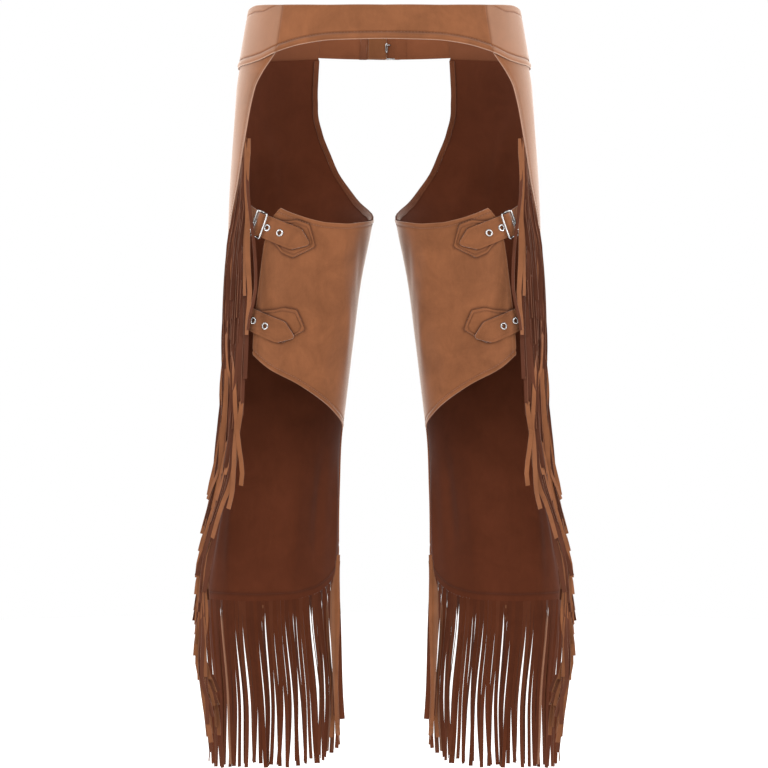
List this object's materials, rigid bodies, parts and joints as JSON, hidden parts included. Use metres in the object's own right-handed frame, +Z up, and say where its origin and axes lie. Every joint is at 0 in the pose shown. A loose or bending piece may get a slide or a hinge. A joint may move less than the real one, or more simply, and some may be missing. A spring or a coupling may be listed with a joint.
{
  "type": "fringed suede chaps",
  "caption": "Open-backed suede chaps with a wide waistband, a buckled front belt, thigh wraps closed by buckled straps, and long fringe down the sides and below the hems.",
  "frame": {"origin": "middle of the waist opening, 30 mm below the top edge of the front belt, where the wearer's hips hold the garment up", "axes": "+Z up, +Y the wearer's front, -Y the wearer's back, +X the wearer's right-hand side"},
  "size_m": [0.5062, 0.2495, 1.0243],
  "materials": {
    "suede_tan": "brushed tan suede, matt, with a short nap",
    "suede_band": "lighter tan suede, matt",
    "suede_brown": "dark brown reverse side of the suede, matt",
    "nickel": "nickel-plated wire and eyelets, polished"
  },
  "bodies": {
    "root": {"belt_billet": "suede_tan", "belt_buckle_frame": "nickel", "belt_buckle_prong": "nickel", "belt_keeper": "suede_tan", "belt_left": "suede_tan", "belt_right": "suede_tan", "crotch_binding_left": "suede_band", "crotch_binding_right": "suede_band", "hem_fringe_left": "suede_brown", "hem_fringe_right": "suede_brown", "leg_panel_left": "suede_tan", "leg_panel_right": "suede_tan", "lower_buckle_left_bar": "nickel", "lower_buckle_left_frame": "nickel", "lower_buckle_left_prong": "nickel", "lower_buckle_right_bar": "nickel", "lower_buckle_right_frame": "nickel", "lower_buckle_right_prong": "nickel", "lower_patch_left": "suede_band", "lower_patch_right": "suede_band", "lower_strap_left": "suede_tan", "lower_strap_left_eyelet_1": "nickel", "lower_strap_left_eyelet_2": "nickel", "lower_strap_left_eyelet_3": "nickel", "lower_strap_right": "suede_tan", "lower_strap_right_eyelet_1": "nickel", "lower_strap_right_eyelet_2": "nickel", "lower_strap_right_eyelet_3": "nickel", "side_fringe_header_left": "suede_brown", "side_fringe_header_right": "suede_brown", "side_fringe_left": "suede_brown", "side_fringe_right": "suede_brown", "thigh_wrap_left": "suede_tan", "thigh_wrap_right": "suede_tan", "upper_buckle_left_bar": "nickel", "upper_buckle_left_frame": "nickel", "upper_buckle_left_prong": "nickel", "upper_buckle_right_bar": "nickel", "upper_buckle_right_frame": "nickel", "upper_buckle_right_prong": "nickel", "upper_patch_left": "suede_band", "upper_patch_right": "suede_band", "upper_strap_left": "suede_tan", "upper_strap_left_eyelet_1": "nickel", "upper_strap_left_eyelet_2": "nickel", "upper_strap_left_eyelet_3": "nickel", "upper_strap_right": "suede_tan", "upper_strap_right_eyelet_1": "nickel", "upper_strap_right_eyelet_2": "nickel", "upper_strap_right_eyelet_3": "nickel", "waistband_back": "suede_band", "waistband_side_left": "suede_band", "waistband_side_right": "suede_band"}
  },
  "joints": []
}
